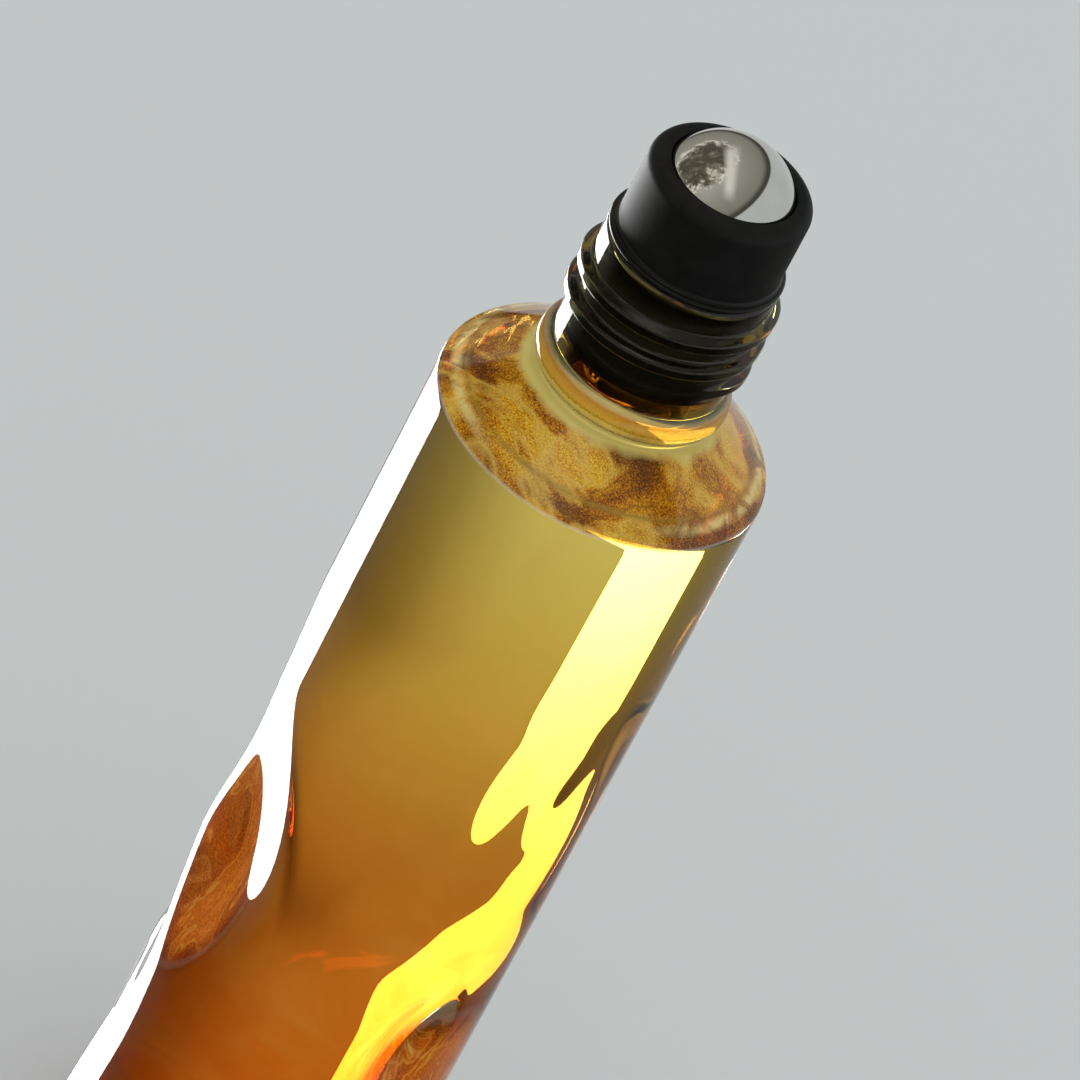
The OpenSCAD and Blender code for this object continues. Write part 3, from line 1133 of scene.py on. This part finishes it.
# The ragged patch on the left, the broken ring round it, and the soft strip across the ball
CRUMPLED = [
    (0.30, (0.30, 0.27, 0.21)),
    (0.42, (0.085, 0.075, 0.055)),
    (0.52, (0.15, 0.135, 0.10)),
    (0.60, (0.24, 0.22, 0.17)),
    (0.66, (0.66, 0.62, 0.52)),
]
RAGGED_RING = [
    (0.40, (0.34, 0.32, 0.26)),
    (0.56, (0.95, 0.92, 0.80)),
]
STRIP = (0.80, 0.78, 0.70)
# Directions that the sheet, the patch and the strip are measured along
TO_SHEET = (0.74, 0.13, -0.66)
TO_PATCH = (-0.74, 0.06, 0.66)
TO_STRIP = (0.93, 0.28, 0.23)


# %% Upper surround
def upper_surround(tree, towards):
    """What the ball mirrors from above: a light sheet on the right that ends in a dark line, tan
    grey on the left with a dark ragged patch, and a bright soft strip.
    """
    side = dot_with(tree, towards, TO_SHEET)
    tan = ramp(tree, between(tree, side, -1, 0, 0, 1), SKY_LEFT)
    sky = mix_colour(tree, between(tree, side, 0.02, 0.06, 0, 1), tan, SKY_RIGHT)
    edge = product(tree, between(tree, side, -0.15, -0.03, 0, 1),
                   between(tree, side, 0.07, 0.03, 0, 1))
    sky = mix_colour(tree, edge, sky, SKY_EDGE)
    ragged = weighted_sum(tree, noise(tree, towards, 5, detail=5, roughness=0.62), 0.42,
                          dot_with(tree, towards, TO_PATCH))
    creases = noise(tree, towards, 3.2, detail=4, roughness=0.6, distortion=0.6)
    crumpled = ramp(tree, creases, CRUMPLED)
    ring = ramp(tree, noise(tree, towards, 9, detail=3, roughness=0.6), RAGGED_RING)
    patch = mix_colour(tree, between(tree, ragged, 0.965, 1.03, 0, 1), ring, crumpled)
    sky = mix_colour(tree, between(tree, ragged, 0.92, 0.965, 0, 1), sky, patch)
    beside = dot_with(tree, towards, TO_STRIP)
    overhead = dot_with(tree, towards, (0, 0, 1))
    strip = product(tree, between(tree, beside, -0.14, 0.0, 0, 1),
                    between(tree, beside, 0.26, 0.08, 0, 1),
                    between(tree, overhead, 0.62, 0.86, 0, 1))
    return mix_colour(tree, strip, sky, STRIP)


# %% World
# Where one part of the surround goes over into the next, by y or z of the direction
FRONT_TO_BEHIND = (-0.15, 0.25)
FRONT_RISES = (-0.3, 0.5)
LOW_TO_UPPER = (-0.45, -0.2)
LOW_TO_EYE_LEVEL = (-0.42, -0.30)


def make_world():
    """Pale to the camera and white to scattered light. To gloss and glass it is a studio: pale
    behind, dim at the sides and dark in front, with the upper surround for what mirrors it and a
    pale wall from below eye level upwards for light that has come through the bottle.
    """
    world = bpy.data.worlds.new("surround")
    world.use_nodes = True
    bpy.context.scene.world = world
    tree = world.node_tree
    towards = tree.nodes.new("ShaderNodeTexCoord").outputs["Generated"]
    split = tree.nodes.new("ShaderNodeSeparateXYZ")
    tree.links.new(towards, split.inputs["Vector"])
    x, y, z = split.outputs
    behind = ramp(tree, between(tree, x, -1, 1, 0, 1), BEHIND)
    front = mix_colour(tree, between(tree, z, *FRONT_RISES, 0, 1), FRONT_LOW, FRONT_HIGH)
    low = mix_colour(tree, between(tree, y, *FRONT_TO_BEHIND, 0, 1), front, behind)
    around = mix_colour(tree, between(tree, z, *LOW_TO_UPPER, 0, 1), low,
                        upper_surround(tree, towards))
    through = mix_colour(tree, between(tree, y, *FRONT_TO_BEHIND, 0, 1), THROUGH_FRONT, behind)
    through = mix_colour(tree, between(tree, z, *LOW_TO_EYE_LEVEL, 0, 1), through, EYE_LEVEL)
    around = mix_colour(tree, ray_kind(tree, "Is Transmission Ray"), around, through)
    around = mix_colour(tree, ray_kind(tree, "Is Camera Ray"), around, BACKDROP)
    around = mix_colour(tree, ray_kind(tree, "Is Diffuse Ray"), around, (1, 1, 1))
    tree.links.new(around, tree.nodes["Background"].inputs["Color"])
    return world


world = make_world()
print(world.name, "has", len(world.node_tree.nodes), "nodes")

# %% [markdown]
# ## The lamps
#
# Two soft boxes make the photo's hard-edged lights: the white band at the left is one box mirrored in
# the glass, and the two stripes at the right are another one seen through glass and oil. They stand
# behind the bottle and below the floor's level, where the view down through the glass ends. Each box
# is met by one kind of ray only, so that it can be placed for its own mark without spoiling the
# other's.

# %% Lamps
LAMP_AIM_Z = 50 * MM


def soft_box(name, azimuth, elevation, distance, width, height, radiance, kind):
    """Area lamp in a direction from a point on the bottle's axis, turned to face it.

    azimuth is in degrees from +Y towards -X, so 0 is behind the bottle as the camera sees it.
    Its watts are radiance * pi * area. kind says which rays meet it: "mirrored" or "through".
    """
    a, e = math.radians(azimuth), math.radians(elevation)
    out = np.array([-math.sin(a) * math.cos(e), math.cos(a) * math.cos(e), math.sin(e)])
    data = bpy.data.lights.new(name, "AREA")
    data.shape = "RECTANGLE"
    data.size, data.size_y = width, height
    data.energy = radiance * math.pi * width * height
    lamp = bpy.data.objects.new(name, data)
    bpy.context.collection.objects.link(lamp)
    level = np.cross([0, 0, 1], out)
    level /= np.linalg.norm(level)
    place = np.array([0, 0, LAMP_AIM_Z]) + distance * out
    lamp.matrix_world = stand(level, np.cross(out, level), out, place)
    lamp.visible_camera = False
    lamp.visible_diffuse = False
    lamp.visible_glossy = kind == "mirrored"
    lamp.visible_transmission = kind == "through"
    print(name, "watts:", round(data.energy, 2))
    return lamp


soft_box("left_box", azimuth=45, elevation=-42, distance=0.60, width=0.390, height=0.414,
         radiance=10, kind="mirrored")
soft_box("back_box", azimuth=36.5, elevation=-42, distance=0.66, width=0.297, height=0.455,
         radiance=5, kind="through")

# %% [markdown]
# ## Picture settings
#
# The Standard view transform shows colours as they are written.

# %% Picture settings
bpy.context.scene.view_settings.view_transform = "Standard"
